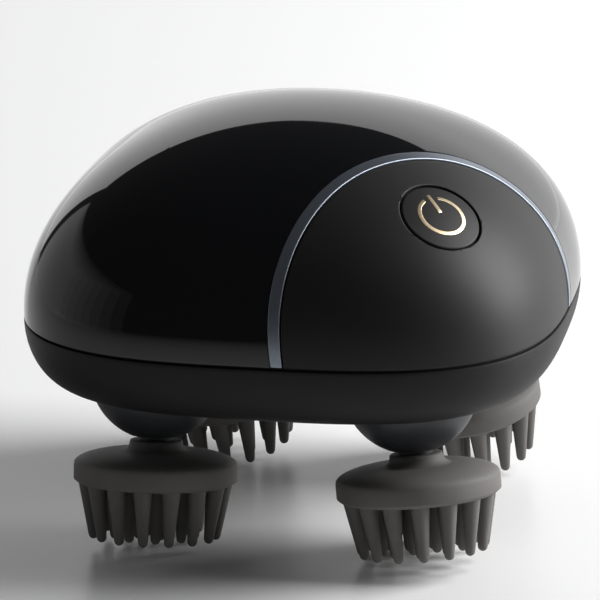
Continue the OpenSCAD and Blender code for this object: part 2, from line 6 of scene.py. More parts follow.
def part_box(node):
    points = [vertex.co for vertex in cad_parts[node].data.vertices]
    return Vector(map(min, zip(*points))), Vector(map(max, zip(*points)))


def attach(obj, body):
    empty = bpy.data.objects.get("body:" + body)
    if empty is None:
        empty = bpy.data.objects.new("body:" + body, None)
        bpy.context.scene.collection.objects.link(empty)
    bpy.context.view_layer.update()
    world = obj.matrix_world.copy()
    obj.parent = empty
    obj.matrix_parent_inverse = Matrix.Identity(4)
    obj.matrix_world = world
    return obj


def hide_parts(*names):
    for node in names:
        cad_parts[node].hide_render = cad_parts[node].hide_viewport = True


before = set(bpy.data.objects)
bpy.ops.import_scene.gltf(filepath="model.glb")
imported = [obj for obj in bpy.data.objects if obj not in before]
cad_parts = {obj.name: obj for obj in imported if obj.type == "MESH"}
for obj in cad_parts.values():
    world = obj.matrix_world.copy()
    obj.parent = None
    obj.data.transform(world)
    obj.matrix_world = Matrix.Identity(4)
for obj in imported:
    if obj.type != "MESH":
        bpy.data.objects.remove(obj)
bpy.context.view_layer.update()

# ---- Gloss dome ----
# The dome is one moulded shell in high-gloss black plastic, with its front right corner left open
# for the arch and the panel. It stands on the seam's sealing ring and is screwed on from below.

dome_low, dome_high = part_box("upper_shell")
half_width = dome_high.x
dome_rise = dome_high.z - dome_low.z
dome_fullness = 2.1
seam_squareness = 3.1
crown_squareness = 2.0
shell_wall = 0.0022
seam_low, seam_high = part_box("seam_gasket")
seam_middle = (seam_low.z + seam_high.z) / 2
corner = math.radians(-45)
arch_bend = 0.088
arch_lean = math.radians(5.2)
arch_out = 0.043 - arch_bend * math.cos(arch_lean)
arch_up = seam_middle - arch_bend * math.sin(arch_lean)
arch_gap = 0.00005
halvings, leg_steps, widest_turn = 44, 240, math.radians(100)
merge_within = 0.000002


def plan_reach(turn, squareness):
    """Reach of the body's outline in one direction, for a half width of 1."""
    return (abs(math.cos(turn)) ** squareness + abs(math.sin(turn)) ** squareness) ** (-1 / squareness)


def dome_squareness(share):
    """How square the outline is, from the seam at 0 to the crown at 1."""
    return crown_squareness + (seam_squareness - crown_squareness) * (1 - share ** 4)


def dome_point(turn, rise, inset):
    """Point of the dome, where rise is 0 at the seam and a quarter turn at the crown."""
    share = max(0.0, math.sin(rise)) ** (2 / dome_fullness)
    across = (half_width - inset) * max(0.0, math.cos(rise)) ** (2 / dome_fullness)
    across *= plan_reach(turn, dome_squareness(share))
    return Vector((across * math.cos(turn), across * math.sin(turn),
                   dome_low.z + (dome_rise - inset) * share))


def behind_arch(point, distance):
    """How far a point lies outside the arch's curved face, on the panel's side."""
    out = (point.x - point.y) / math.sqrt(2) - arch_out
    return math.hypot(out, point.z - arch_up) - arch_bend - distance


def crossing(rule, high):
    """Where a rule that starts above zero comes down to it, found by halving."""
    low = 0.0
    for _ in range(halvings):
        middle = (low + high) / 2
        low, high = (middle, high) if rule(middle) > 0 else (low, middle)
    return low


def arch_line(distance, inset, count):
    """Turns and rises of the arch's edge, evenly spaced from one foot over the top to the other."""
    top = crossing(lambda rise: behind_arch(dome_point(corner, rise, inset), distance), math.pi / 2)
    leg = []
    for step in range(leg_steps + 1):
        rise = top * math.sin(math.pi / 2 * step / leg_steps)
        aside = crossing(lambda turn: behind_arch(dome_point(corner + turn, rise, inset), distance),
                         widest_turn)
        leg.append((aside, rise))
    places = [(corner - aside, rise) for aside, rise in leg]
    places += [(corner + aside, rise) for aside, rise in reversed(leg[:-1])]
    run = [0.0]
    for before, after in zip(places, places[1:]):
        run.append(run[-1] + (dome_point(*after, inset) - dome_point(*before, inset)).length)
    line, at = [], 0
    for step in range(count + 1):
        wanted = run[-1] * step / count
        while at < len(run) - 2 and run[at + 1] < wanted:
            at += 1
        share = (wanted - run[at]) / (run[at + 1] - run[at])
        line.append(tuple(a + (b - a) * share for a, b in zip(places[at], places[at + 1])))
    return line


def named(name):
    """Names the piece that was just made, and its mesh."""
    piece = bpy.context.object
    piece.name = piece.data.name = name
    return piece


def reshape(piece, rule):
    """Moves every vertex of a piece to where the rule puts it."""
    for vertex in piece.data.vertices:
        vertex.co = rule(vertex.co.copy())
    piece.data.update()


def worked(piece, kind, **settings):
    """Puts a modifier on a piece and applies it."""
    modifier = piece.modifiers.new(kind.title(), kind)
    for setting, value in settings.items():
        setattr(modifier, setting, value)
    bpy.context.view_layer.objects.active = piece
    bpy.ops.object.modifier_apply(modifier=modifier.name)


def only(piece):
    """Selects one piece and nothing else."""
    bpy.ops.object.select_all(action="DESELECT")
    piece.select_set(True)
    bpy.context.view_layer.objects.active = piece


def walled(piece, thickness, even=False):
    """Gives a skin its wall, inwards from its outer face."""
    worked(piece, "SOLIDIFY", thickness=thickness, offset=-1, use_even_offset=even)


def eased(piece, width, segments):
    """Rounds the sharp edges of a piece over."""
    worked(piece, "BEVEL", width=width, segments=segments, limit_method="ANGLE",
           angle_limit=math.radians(50))


def smoothed(piece, angle):
    """Shades a piece smooth, but for edges sharper than an angle in degrees."""
    only(piece)
    bpy.ops.object.shade_smooth_by_angle(angle=math.radians(angle))


def skin(name, across, along, rule):
    """A sheet of faces laid out by a rule, with doubles merged and all faces turned outward."""
    bpy.ops.object.select_all(action="DESELECT")
    bpy.ops.mesh.primitive_grid_add(x_subdivisions=across, y_subdivisions=along, size=1)
    piece = named(name)
    reshape(piece, lambda p: rule(round((p.x + 0.5) * across), round((p.y + 0.5) * along)))
    only(piece)
    bpy.ops.object.mode_set(mode="EDIT")
    bpy.ops.mesh.select_all(action="SELECT")
    bpy.ops.mesh.remove_doubles(threshold=merge_within)
    bpy.ops.mesh.normals_make_consistent(inside=False)
    bpy.ops.object.mode_set(mode="OBJECT")
    inside = Vector((0, 0, dome_low.z - 0.01))
    if sum(face.area * face.normal.dot(face.center - inside) for face in piece.data.polygons) < 0:
        piece.data.flip_normals()
    return piece


class Amount:
    """A number that a finish works out at every point, written as plain arithmetic."""

    def __init__(self, finish, socket):
        self.finish, self.socket = finish, socket

    def arithmetic(self, operation, first, second):
        return self.finish.node("ShaderNodeMath", {"operation": operation}, {0: first, 1: second})

    def __add__(self, other):
        return self.arithmetic("ADD", self, other)

    def __sub__(self, other):
        return self.arithmetic("SUBTRACT", self, other)

    def __rsub__(self, other):
        return self.arithmetic("SUBTRACT", other, self)

    def __mul__(self, other):
        return self.arithmetic("MULTIPLY", self, other)

    def __pow__(self, other):
        return self.arithmetic("POWER", self, other)

    __radd__ = __add__
    __rmul__ = __mul__


class Finish:
    """A surface finish. Fixed values are set on the shader, and what varies is linked to it."""

    def __init__(self, name, fixed):
        self.material = bpy.data.materials.new(name)
        self.material.use_nodes = True
        self.tree = self.material.node_tree
        self.shader = self.tree.nodes["Principled BSDF"]
        for socket, value in fixed.items():
            self.shader.inputs[socket].default_value = value
        self.place = self.node("ShaderNodeTexCoord", {}, {}, "Object")

    def node(self, kind, settings, inputs, output=0):
        """Adds a node: its settings first, then the values or links of its sockets."""
        node = self.tree.nodes.new(kind)
        for setting, value in settings.items():
            setattr(node, setting, value)
        for socket, value in inputs.items():
            self.feed(node.inputs[socket], value)
        return Amount(self, node.outputs[output])

    def feed(self, socket, value):
        """Links a worked-out value to a socket, or sets a fixed one on it."""
        if isinstance(value, Amount):
            self.tree.links.new(value.socket, socket)
        else:
            socket.default_value = value

    def give(self, socket, value):
        """Links a worked-out value to one of the shader's sockets."""
        self.feed(self.shader.inputs[socket], value)

    def grain(self, scale, detail=2.0, stretch=None):
        """Noise from 0 to 1, with the scale in cells per metre."""
        place = self.place
        if stretch:
            place = self.node("ShaderNodeMapping", {}, {"Vector": place, "Scale": stretch})
        return self.node("ShaderNodeTexNoise", {},
                         {"Vector": place, "Scale": scale, "Detail": detail}, "Fac")

    def along(self, direction):
        """How far each point lies along a direction."""
        return self.node("ShaderNodeVectorMath", {"operation": "DOT_PRODUCT"},
                         {0: self.place, 1: direction}, "Value")

    def above(self, value, low, high):
        """0 where a value is below low, 1 where it is above high."""
        return self.node("ShaderNodeMapRange", {}, {"Value": value, "From Min": low, "From Max": high})

    def blend(self, share, first, second):
        """Colour between the first, at 0, and the second, at 1."""
        return self.node("ShaderNodeMix", {"data_type": "RGBA"},
                         {0: share, 6: (*first, 1) if isinstance(first, tuple) else first,
                          7: (*second, 1) if isinstance(second, tuple) else second}, 2)

    def relief(self, height, depth):
        """Bump of the given depth in metres."""
        bump = self.node("ShaderNodeBump", {}, {"Height": height, "Distance": depth, "Strength": 1.0})
        self.give("Normal", bump)


def dress(piece, finish):
    """Gives a new piece its finish."""
    piece.data.materials.clear()
    piece.data.materials.append(finish.material)


gloss_black = Finish("gloss_black", {"IOR": 1.5})
smudge = gloss_black.above(gloss_black.grain(55, 4), 0.45, 0.75)
dust = gloss_black.above(gloss_black.grain(2600, 1), 0.74, 0.82)
gloss_black.give("Base Color", gloss_black.blend(gloss_black.grain(30, 2), (0.0022, 0.0024, 0.0030),
                                                 (0.0034, 0.0037, 0.0046)))
gloss_black.give("Roughness", 0.035 + smudge * 0.02 + dust * 0.06)
gloss_black.relief(gloss_black.grain(180, 1), 0.0000012)

arch_steps, seam_steps, dome_rows = 170, 210, 80
dome_edge = arch_line(-arch_gap, 0, arch_steps)
open_turn = 2 * math.pi - (dome_edge[-1][0] - dome_edge[0][0])
dome_edge += [(dome_edge[-1][0] + open_turn * step / seam_steps, 0.0) for step in range(1, seam_steps + 1)]
quiet_reach, row_spread = -0.86, 1.3
quiet_spot = Vector((quiet_reach * math.cos(corner), quiet_reach * math.sin(corner)))


def dome_sheet(column, row):
    """Runs each column, on a flat map of the dome, from its edge to a quiet spot low at the back."""
    turn, rise = dome_edge[column]
    reach = 1 - rise / (math.pi / 2)
    place = Vector((reach * math.cos(turn), reach * math.sin(turn)))
    place = place.lerp(quiet_spot, (row / dome_rows) ** row_spread)
    return dome_point(math.atan2(place.y, place.x), (1 - place.length) * math.pi / 2, 0)


gloss_dome = skin("gloss_dome", arch_steps + seam_steps, dome_rows, dome_sheet)
walled(gloss_dome, shell_wall)
eased(gloss_dome, 0.0003, 3)
smoothed(gloss_dome, 40)
dress(gloss_dome, gloss_black)
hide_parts("upper_shell")
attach(gloss_dome, "housing")

# ---- Arch trim ----
# The trim is a bent strip of satin blue-grey metal that fills the joint between dome and panel.
# It is drawn through a die, so fine lines run along it, and its edges are broken bright.

trim_width = 0.0017
trim_depth = 0.0034
trim_steps, trim_rows = 220, 6
trim_lines = [arch_line(trim_width * row / trim_rows, 0, trim_steps) for row in range(trim_rows + 1)]

satin_trim = Finish("satin_trim", {"Metallic": 0.9})
out_of_axis = satin_trim.along((math.cos(corner), math.sin(corner), 0)) - arch_out
above_axis = satin_trim.along((0, 0, 1)) - arch_up
across_strip = (out_of_axis * out_of_axis + above_axis * above_axis) ** 0.5
drawn_lines = satin_trim.node("ShaderNodeTexNoise", {"noise_dimensions": "1D"},
                              {"W": across_strip, "Scale": 9000, "Detail": 2}, "Fac")
satin_trim.give("Base Color", satin_trim.blend(drawn_lines, (0.20, 0.225, 0.265), (0.27, 0.30, 0.345)))
satin_trim.give("Roughness", 0.26 + drawn_lines * 0.1 + satin_trim.grain(120, 2) * 0.04)
satin_trim.relief(drawn_lines, 0.000004)

arch_trim = skin("arch_trim", trim_steps, trim_rows,
                 lambda column, row: dome_point(*trim_lines[row][column], 0))
walled(arch_trim, trim_depth)
eased(arch_trim, 0.00024, 3)
smoothed(arch_trim, 40)
dress(arch_trim, satin_trim)
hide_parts("trim_strip")
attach(arch_trim, "housing")

# ---- Corner panel ----
# The panel is a matte moulding with a soft-touch coat, set a hair below the dome's surface. It has
# a round opening for the button, whose edge is eased, and a guide tube behind it.

panel_inset = 0.00025
button_diameter = 0.017
button_gap = 0.00035
guide_from, guide_to, guide_wall = 0.0026, 0.0062, 0.0022
drill_reach = 0.012
hole_ease, hole_depth = 0.00022, 0.0016
button_height = seam_middle + 0.0275


def corner_reach(height):
    """Distance of the panel's surface from the body's axis, on the corner's diagonal."""
    share = (height - dome_low.z) / (dome_rise - panel_inset)
    across = (half_width - panel_inset) * (1 - share ** dome_fullness) ** (1 / dome_fullness)
    return across * plan_reach(corner, dome_squareness(share))


button_reach = corner_reach(button_height)
button_tilt = math.atan2(0.001, corner_reach(button_height - 0.0005) - corner_reach(button_height + 0.0005))
button_frame = (Matrix.Rotation(corner, 4, "Z") @ Matrix.Translation((button_reach, 0, button_height))
                @ Matrix.Rotation(button_tilt, 4, "Y"))
button_middle = button_frame.translation.copy()
button_axis = button_frame.to_3x3() @ Vector((0, 0, 1))


def settle(piece, place):
    """Moves a piece's mesh to its place, and leaves its object at the origin."""
    piece.data.transform(place)
    piece.matrix_world = Matrix.Identity(4)
    piece.data.update()


def turned(name, outline, sides, closed_start=True, closed_end=True):
    """A piece turned on the lathe, as a circle drawn down an outline of radii and heights."""
    bpy.ops.object.select_all(action="DESELECT")
    bpy.ops.mesh.primitive_circle_add(vertices=sides, radius=outline[0][0], location=(0, 0, outline[0][1]))
    piece = named(name)
    bpy.ops.object.transform_apply(location=True, rotation=True, scale=True)
    bpy.ops.object.mode_set(mode="EDIT")
    bpy.ops.mesh.select_all(action="SELECT")
    if closed_start:
        bpy.ops.mesh.extrude_region_move()
        bpy.ops.mesh.merge(type="CENTER")
        bpy.ops.mesh.select_all(action="DESELECT")
        bpy.ops.object.mode_set(mode="OBJECT")
        for vertex in piece.data.vertices:
            vertex.select = vertex.co.xy.length > outline[0][0] * 0.5
        bpy.ops.object.mode_set(mode="EDIT")
    for before, after in zip(outline, outline[1:]):
        bpy.ops.mesh.extrude_region_move(TRANSFORM_OT_translate={"value": (0, 0, after[1] - before[1])})
        grow = after[0] / before[0]
        bpy.ops.transform.resize(value=(grow, grow, 1), center_override=(0, 0, after[1]))
    if closed_end:
        bpy.ops.mesh.extrude_region_move()
        bpy.ops.mesh.merge(type="CENTER")
    bpy.ops.mesh.select_all(action="SELECT")
    bpy.ops.mesh.normals_make_consistent(inside=False)
    bpy.ops.object.mode_set(mode="OBJECT")
    return piece


def round_edges(piece, rule, width, segments):
    """Bevels only those edges of a piece whose two ends meet a rule."""
    only(piece)
    for items in (piece.data.vertices, piece.data.edges, piece.data.polygons):
        for item in items:
            item.select = False
    for edge in piece.data.edges:
        edge.select = rule(*(piece.data.vertices[end].co for end in edge.vertices))
    bpy.ops.object.mode_set(mode="EDIT")
    bpy.ops.mesh.select_mode(type="EDGE")
    bpy.ops.mesh.bevel(offset=width, segments=segments)
    bpy.ops.mesh.select_mode(type="VERT")
    bpy.ops.object.mode_set(mode="OBJECT")


def cut_with(piece, tool):
    """Takes the tool's shape out of a piece and throws the tool away."""
    worked(piece, "BOOLEAN", operation="DIFFERENCE", solver="EXACT", object=tool)
    bpy.data.objects.remove(tool)


def joined(piece, others):
    """Makes the other pieces part of this one."""
    only(piece)
    for other in others:
        other.select_set(True)
    bpy.ops.object.join()
    return piece


soft_black = Finish("soft_black", {"IOR": 1.45, "Specular IOR Level": 0.32,
                                   "Sheen Weight": 0.04, "Sheen Roughness": 0.5})
cloud = soft_black.grain(40, 3)
soft_grain = soft_black.grain(5200, 2)
soft_black.give("Base Color", soft_black.blend(cloud, (0.0060, 0.0059, 0.0057), (0.0090, 0.0088, 0.0085)))
soft_black.give("Roughness", 0.44 + cloud * 0.05 + soft_grain * 0.06)
soft_black.relief(soft_grain, 0.000011)

panel_steps, panel_rows = 160, 70
panel_edge = arch_line(trim_width + arch_gap, panel_inset, panel_steps)


def panel_sheet(column, row):
    """Runs each column from the seam up to the arch's edge."""
    turn, rise = panel_edge[column]
    foot_turn = panel_edge[0][0] + (panel_edge[-1][0] - panel_edge[0][0]) * column / panel_steps
    share = row / panel_rows
    return dome_point(foot_turn + (turn - foot_turn) * share, rise * share, panel_inset)


corner_panel = skin("corner_panel", panel_steps, panel_rows, panel_sheet)
walled(corner_panel, shell_wall)
eased(corner_panel, 0.0002, 2)
hole_radius = button_diameter / 2 + button_gap
drill = turned("drill", [(hole_radius, -drill_reach), (hole_radius, drill_reach)], 96)
settle(drill, button_frame)
cut_with(corner_panel, drill)
guide = turned("guide", [(hole_radius, -guide_from), (hole_radius, -guide_to),
                         (hole_radius + guide_wall, -guide_to), (hole_radius + guide_wall, -guide_from),
                         (hole_radius, -guide_from)], 96, False, False)
settle(guide, button_frame)


def on_hole_rim(*ends):
    """Whether points lie on the button's hole, near the panel's outer face."""
    for point in ends:
        along = (point - button_middle).dot(button_axis)
        reach = (point - button_middle - button_axis * along).length
        if abs(reach - hole_radius) >= 0.00002 or along <= -hole_depth:
            return False
    return True


round_edges(corner_panel, on_hole_rim, hole_ease, 3)
joined(corner_panel, [guide])
smoothed(corner_panel, 40)
dress(corner_panel, soft_black)
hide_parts("control_panel")
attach(corner_panel, "housing")

# ---- Power button ----
# The button is a domed disc with a softened rim, in the panel's soft-touch black. A lip behind the
# guide tube keeps it in, and a stem reaches back towards the switch.

button_crown = 0.040
button_radius = button_diameter / 2
lip_at, lip_thick, lip_out = 0.0063, 0.001, 0.0009
stem_radius, stem_to = 0.002, 0.0083
rim_ease, skirt_to = 0.00055, 0.0022


def crown_drop(across):
    """How far the button's domed face lies below its middle, at a distance from the axis."""
    return button_crown - math.sqrt(button_crown ** 2 - across ** 2)


face = [(button_radius * share, -crown_drop(button_radius * share)) for share in
        (0.03, 0.1, 0.2, 0.3, 0.4, 0.5, 0.6, 0.7, 0.8, 0.88)]
edge_start = button_radius - rim_ease
rim = [(edge_start + rim_ease * math.sin(math.radians(t)),
        -crown_drop(edge_start) - rim_ease * (1 - math.cos(math.radians(t)))) for t in range(0, 91, 15)]
power_button = turned("button_cap", face + rim + [
    (button_radius, -skirt_to), (button_radius, -lip_at), (button_radius + button_gap + lip_out, -lip_at),
    (button_radius + button_gap + lip_out, -lip_at - lip_thick), (stem_radius, -lip_at - lip_thick),
    (stem_radius, -stem_to)], 128)
settle(power_button, button_frame)
smoothed(power_button, 35)
dress(power_button, soft_black)
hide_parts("power_button")
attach(power_button, "button")

# ---- Power symbol ----
# The generic power sign is a champagne-gold metal inlay, pressed into the button's face: an open
# ring, and a bar through the opening. It stands a little proud, with its edges rounded over.

symbol_radius = 0.00525
symbol_line = 0.0009
bar_from = 1.12
symbol_proud = 0.00004
symbol_sunk = 0.0002
ring_opening = math.asin(0.3 * symbol_radius / (symbol_radius - symbol_line / 2))

champagne = Finish("champagne_metal", {"Metallic": 1.0})
brush = champagne.grain(900, 3, (1, 1, 6))
champagne.give("Base Color", champagne.blend(brush, (0.66, 0.52, 0.33), (0.80, 0.66, 0.45)))
champagne.give("Roughness", 0.30 + brush * 0.12)
champagne.relief(champagne.grain(6000, 2), 0.000002)


def on_button_face(point):
    """Lays a flat drawing on the button's domed face."""
    return Vector((point.x, point.y, symbol_proud - crown_drop(point.xy.length)))


def inlay(name, points_across, points_along, rule):
    """A flat strip laid on the face by a rule, thickened downwards, with rounded edges."""
    bpy.ops.object.select_all(action="DESELECT")
    bpy.ops.mesh.primitive_grid_add(x_subdivisions=points_along, y_subdivisions=points_across, size=1)
    piece = named(name)
    reshape(piece, lambda p: on_button_face(rule(p.x + 0.5, p.y)))
    if piece.data.polygons[0].normal.z < 0:
        piece.data.flip_normals()
    walled(piece, symbol_proud + symbol_sunk)
    eased(piece, 0.00008, 2)
    return piece


def ring_strip(share, side):
    """The open ring, from one end of its gap round to the other."""
    turn = math.pi + ring_opening + (2 * math.pi - 2 * ring_opening) * share
    across = symbol_radius - symbol_line / 2 + side * symbol_line
    return Vector((across * math.cos(turn), across * math.sin(turn), 0))


def bar_strip(share, side):
    """The bar, from above the ring down to near its middle."""
    return Vector((symbol_radius * (share - bar_from), side * symbol_line, 0))


symbol = joined(inlay("power_sign", 4, 96, ring_strip), [inlay("bar", 4, 8, bar_strip)])
settle(symbol, button_frame)
smoothed(symbol, 40)
dress(symbol, champagne)
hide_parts("power_symbol")
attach(symbol, "button")

# ---- Lower shell ----
# The lower shell is a shallow matte tray with a fine spark-eroded texture. It has four round holes
# for the feet, four sunk screw holes and the charging slot at the back.

tub_low, tub_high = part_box("lower_shell")
tub_height = tub_high.z - tub_low.z
tub_round = 0.009
head_at = 0.027
foot_hole = 0.0143 + 0.00035
screw_places = [(0.047, 0.003189), (-0.047, 0), (-0.003189, -0.047), (-0.011, 0.047)]
hole_from, hole_to = -0.001, 0.003
screw_head, screw_seat, screw_shank, screw_from, screw_to = 0.0027, 0.0016, 0.0015, -0.002, 0.004
port_low, port_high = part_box("charging_port")
slot_clear, slot_depth, slot_back, slot_rounding = 0.0003, 0.012, 0.002, 0.495
edge_until = 60

spark_black = Finish("spark_black", {"IOR": 1.45, "Specular IOR Level": 0.25})
spark = spark_black.grain(3600, 3)
patch = spark_black.grain(45, 3)
spark_black.give("Base Color", spark_black.blend(patch, (0.0055, 0.0055, 0.0058), (0.0085, 0.0085, 0.0088)))
spark_black.give("Roughness", 0.46 + patch * 0.05 + spark * 0.06)
spark_black.relief(spark, 0.000014)

bpy.ops.object.select_all(action="DESELECT")
bpy.ops.mesh.primitive_uv_sphere_add(segments=240, ring_count=72, radius=1)
lower_tray = named("lower_tray")
bpy.ops.object.mode_set(mode="EDIT")
bpy.ops.mesh.select_all(action="SELECT")
bpy.ops.mesh.bisect(plane_co=(0, 0, 0), plane_no=(0, 0, 1), clear_outer=True, threshold=0.001)
bpy.ops.object.mode_set(mode="OBJECT")


def tray_point(point):
    """Draws a half ball out to the tray: its upper part is the rounded edge, the rest the flat."""
    turn = math.atan2(point.y, point.x)
    drop = math.degrees(math.asin(max(0.0, min(1.0, -point.z))))
    if drop <= edge_until:
        edge = math.radians(drop * (90 / edge_until))
        across = half_width - tub_round + tub_round * math.cos(edge)
        height = tub_high.z - tub_height * math.sin(edge)
    else:
        across = (half_width - tub_round) * (90 - drop) / (90 - edge_until)
        height = tub_low.z
    across *= plan_reach(turn, seam_squareness)
    return Vector((across * math.cos(turn), across * math.sin(turn), height))


reshape(lower_tray, tray_point)
walled(lower_tray, shell_wall, even=True)
eased(lower_tray, 0.00025, 2)
for side_x in (-1, 1):
    for side_y in (-1, 1):
        drill = turned("drill", [(foot_hole, hole_from), (foot_hole, hole_to)], 128)
        settle(drill, Matrix.Translation((side_x * head_at, side_y * head_at, tub_low.z)))
        cut_with(lower_tray, drill)
for x, y in screw_places:
    drill = turned("drill", [(screw_head, screw_from), (screw_head, screw_seat), (screw_shank, screw_seat),
                             (screw_shank, screw_to)], 48)
    settle(drill, Matrix.Translation((x, y, tub_low.z)))
    cut_with(lower_tray, drill)

bpy.ops.object.select_all(action="DESELECT")
port_middle = (port_low + port_high) / 2
port_size = port_high - port_low
bpy.ops.mesh.primitive_cube_add(size=1, location=(port_middle.x, half_width - slot_back, port_middle.z),
                                scale=(port_size.x + slot_clear, slot_depth, port_size.z + slot_clear))
slot_tool = named("slot_tool")
bpy.ops.object.transform_apply(location=True, rotation=True, scale=True)
round_edges(slot_tool, lambda start, end: abs(start.y - end.y) > slot_depth / 2,
            (port_size.z + slot_clear) * slot_rounding, 10)
cut_with(lower_tray, slot_tool)
smoothed(lower_tray, 35)
dress(lower_tray, spark_black)
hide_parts("lower_shell")
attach(lower_tray, "housing")

# ---- Claws ----
# Each claw is one soft silicone moulding: a waisted bell, a band with a chamfered lip, and three
# rings of blunt prongs. It is moulded on to a hard core, so it has no seams.

claw_from, bell_height, band_height = 0.0142, 0.0052, 0.0039
neck_radius, rim_radius, lip_width = 0.0056, 0.0173, 0.0009
prong_length, prong_root, prong_tip, prong_draw = 0.012, 0.00205, 0.00105, 0.0013
prong_sunk, ring_gap = 0.0006, 0.0013
head_tilt = math.radians(11)
foot_centre = tub_low.z + 0.0019
heads = [("fl", -1, -1, -88), ("fr", 1, -1, -56), ("bl", -1, 1, 60), ("br", 1, 1, 50)]
band_from = claw_from + bell_height
root_from = band_from + band_height

silicone = Finish("silicone_grey", {"IOR": 1.41, "Specular IOR Level": 0.32})
bloom = silicone.grain(160, 4)
skin_grain = silicone.grain(3800, 3)
lint = silicone.above(silicone.grain(1900, 1), 0.70, 0.78)
tone = silicone.blend(bloom, (0.112, 0.107, 0.102), (0.145, 0.139, 0.132))
silicone.give("Base Color", silicone.blend(lint * 0.35, tone, (0.16, 0.155, 0.15)))
silicone.give("Roughness", 0.56 + bloom * 0.1 + skin_grain * 0.06)
silicone.relief(skin_grain, 0.000012)

shoulder_rise = bell_height * 0.54
fillet = bell_height - shoulder_rise - 0.0004
shoulder_from = neck_radius + fillet
outline = [(neck_radius - 0.0012, -claw_from), (neck_radius - 0.0004, -claw_from),
           (neck_radius - 0.0001, -claw_from - 0.00012), (neck_radius, -claw_from - 0.0004)]
outline += [(neck_radius + fillet * (1 - math.cos(math.radians(t))),
             -band_from + shoulder_rise + fillet * (1 - math.sin(math.radians(t))))
            for t in range(10, 91, 10)]
outline += [(shoulder_from + (rim_radius - shoulder_from) * math.cos(math.radians(t)),
             -band_from + shoulder_rise * math.sin(math.radians(t))) for t in range(80, 5, -8)]
outline += [(rim_radius, -band_from - 0.0003), (rim_radius, -root_from + lip_width * 0.8 + 0.0001),
            (rim_radius - 0.00007, -root_from + lip_width * 0.8 - 0.00006),
            (rim_radius - lip_width + 0.00008, -root_from + 0.00006), (rim_radius - lip_width, -root_from)]
bell = turned("bell", outline, 128)

straight = prong_length - prong_tip
prong_reach = straight + prong_sunk
prong_outline = [(prong_root, 0.0)]
prong_steps = 8
for step in range(1, prong_steps + 1):
    share = step / prong_steps
    prong_outline.append((prong_root + (prong_tip - prong_root) * share, -prong_reach * share))
prong_outline += [(prong_tip * math.cos(math.radians(t)),
                   -prong_reach - prong_tip * math.sin(math.radians(t))) for t in (25, 50, 70)]
prong = turned("prong", prong_outline, 20)

# Each ring has its number of prongs, its radius, how far in their tips are drawn, and its first turn.
rings = [(15, rim_radius - lip_width - prong_root, prong_draw, 0)]
rings.append((9, rings[0][1] - 2 * prong_root - ring_gap, prong_draw / 3, 12))
rings.append((4, rings[1][1] - 2 * prong_root - ring_gap, 0, 30))
prongs = []
for count, root_reach, draw, start in rings:
    for number in range(count):
        copy = prong.copy()
        copy.data = prong.data.copy()
        bpy.context.collection.objects.link(copy)
        settle(copy, Matrix.Rotation(math.radians(start + number * 360 / count), 4, "Z")
               @ Matrix.Translation((root_reach, 0, -root_from + prong_sunk))
               @ Matrix.Rotation(math.atan2(draw, straight), 4, "Y")
               @ Matrix.Scale(math.hypot(draw, prong_reach) / prong_reach, 4, (0, 0, 1)))
        prongs.append(copy)
bpy.data.objects.remove(prong)
claw = joined(bell, prongs)
smoothed(claw, 50)


def head_place(side_x, side_y, lean):
    """Frame of one head: the origin at the foot's round centre, up along the leaning axis."""
    return (Matrix.Translation((side_x * head_at, side_y * head_at, foot_centre))
            @ Matrix.Rotation(math.radians(lean), 4, "Z") @ Matrix.Rotation(-head_tilt, 4, "Y"))


for name, side_x, side_y, lean in heads:
    head_claw = claw.copy()
    head_claw.data = claw.data.copy()
    bpy.context.collection.objects.link(head_claw)
    head_claw.name = head_claw.data.name = "soft_claw_" + name
    settle(head_claw, head_place(side_x, side_y, lean))
    dress(head_claw, silicone)
    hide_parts("claw_" + name)
    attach(head_claw, "head_" + name)
bpy.data.objects.remove(claw)

# ---- Feet ----
# Each foot is a hollow ball end in satin blue-grey plastic, pressed on the crank shaft. It turns in
# the lower shell's round hole with an even gap, and ends flat on the claw's collar.

satin_foot = Finish("satin_foot", {"IOR": 1.48})
swirl = satin_foot.grain(90, 3)
fine = satin_foot.grain(4200, 2)
satin_foot.give("Base Color", satin_foot.blend(swirl, (0.019, 0.0205, 0.0235), (0.026, 0.028, 0.032)))
satin_foot.give("Roughness", 0.36 + swirl * 0.06 + fine * 0.05)
satin_foot.relief(fine, 0.000007)


def redress(nodes, finish):
    """Gives pieces that come from the CAD model their finish."""
    for node in nodes:
        for material_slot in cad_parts[node].material_slots:
            material_slot.material = finish.material


redress(["drive_foot_" + head[0] for head in heads], satin_foot)

# ---- Claw cores ----
# A hard core in each claw holds the soft prongs' floor flat. It is moulded in glass-filled plastic
# and shows only as the short dark collar between foot and claw.

core_plastic = Finish("core_plastic", {"IOR": 1.5})
fibre = core_plastic.grain(2400, 3, (1, 1, 0.3))
core_plastic.give("Base Color", core_plastic.blend(fibre, (0.016, 0.016, 0.017), (0.028, 0.028, 0.030)))
core_plastic.give("Roughness", 0.5 + fibre * 0.15)
core_plastic.relief(fibre, 0.00001)
redress(["claw_core_" + head[0] for head in heads], core_plastic)

# ---- Seals ----
# The ring in the seam, the wipers round the feet and the ring round the button are soft black
# rubber, moulded matte. They sit back from the surface and read as thin dark lines.

seal_rubber = Finish("seal_rubber", {"IOR": 1.45, "Specular IOR Level": 0.3})
rubber_grain = seal_rubber.grain(3000, 3)
seal_rubber.give("Base Color", seal_rubber.blend(rubber_grain, (0.004, 0.004, 0.004), (0.008, 0.008, 0.008)))
seal_rubber.give("Roughness", 0.7 + rubber_grain * 0.15)
seal_rubber.relief(rubber_grain, 0.00001)
redress(["seam_gasket", "button_seal"] + ["foot_seal_" + head[0] for head in heads], seal_rubber)

# ---- Chassis, gear cover and holders ----
# Two flat plates in glass-filled black plastic carry the gears between them. The battery cradle, the
# switch and its bracket, and the parts on the main board have the same black plastic.

